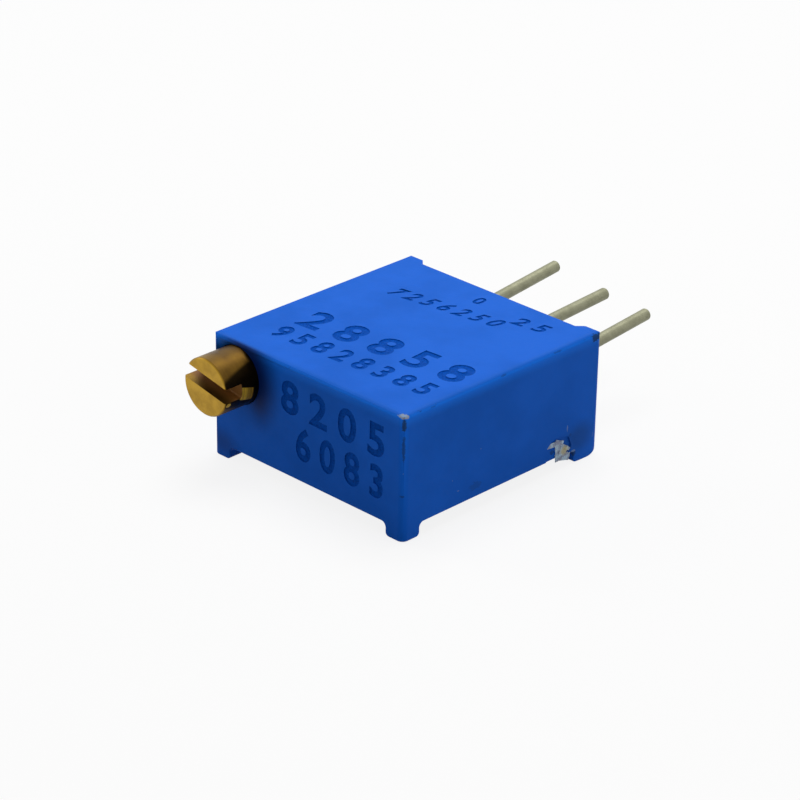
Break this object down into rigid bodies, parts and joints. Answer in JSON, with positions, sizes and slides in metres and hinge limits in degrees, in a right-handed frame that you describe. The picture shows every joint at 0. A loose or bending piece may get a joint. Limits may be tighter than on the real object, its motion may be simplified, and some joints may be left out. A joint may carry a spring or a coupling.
{
  "type": "trimmer potentiometer",
  "caption": "Square multi-turn trimmer potentiometer: blue moulded case, slotted brass adjustment screw at one corner, worm-driven wiper inside and in-line round leads.",
  "frame": {"origin": "under the middle of the whole part's box, leads and screw head included, at the level that the four back feet stand on", "axes": "+Y from the screw towards the leads, +Z out of the large face opposite the back feet, +X across the leads from the screw's side to the other"},
  "size_m": [0.0096, 0.0173, 0.0048],
  "materials": {
    "case_plastic": "satin moulded blue thermoplastic",
    "seal_resin": "cast resin with a flowed surface",
    "ceramic": "fired white ceramic",
    "gasket_rubber": "soft grey bead",
    "resistive_film": "printed and fired dark film",
    "conductor_film": "printed and fired silver film",
    "lead_wire": "tinned wire with a dull olive cast",
    "solder": "solder",
    "screw_brass": "turned brass",
    "ring_rubber": "black seal rubber",
    "clip_steel": "stamped spring steel",
    "wheel_plastic": "natural nylon",
    "carrier_plastic": "dark moulded plastic",
    "spring_alloy": "thin sprung contact metal"
  },
  "bodies": {
    "case": {"housing": "case_plastic", "back_seal": "seal_resin", "ceramic_substrate": "ceramic", "substrate_gasket": "gasket_rubber", "resistive_track": "resistive_film", "collector_track": "conductor_film", "end_conductor_1": "conductor_film", "end_conductor_3": "conductor_film", "pin_1": "lead_wire", "pin_2": "lead_wire", "pin_3": "lead_wire", "solder_1": "solder", "solder_2": "solder", "solder_3": "solder", "retaining_clip": "clip_steel"},
    "screw": {"adjustment_screw": "screw_brass", "o_ring": "ring_rubber"},
    "rotor": {"worm_wheel": "wheel_plastic", "wiper_carrier": "carrier_plastic", "wiper_spring": "spring_alloy"}
  },
  "joints": [
    {"name": "screw_turn", "type": "hinge", "parent": "case", "child": "screw", "pos_m": [-0.00349, -0.00712, 0.00353], "axis": [0, 1, 0], "range_deg": [-4410, 4590]},
    {"name": "rotor_turn", "type": "hinge", "parent": "case", "child": "rotor", "pos_m": [0.00055, -0.00272, 0.0037], "axis": [0, 0, 1], "range_deg": [-147, 153]}
  ],
  "couplings": [
    {"joint": "rotor_turn", "follows": "screw_turn", "ratio": 0.033333}
  ]
}
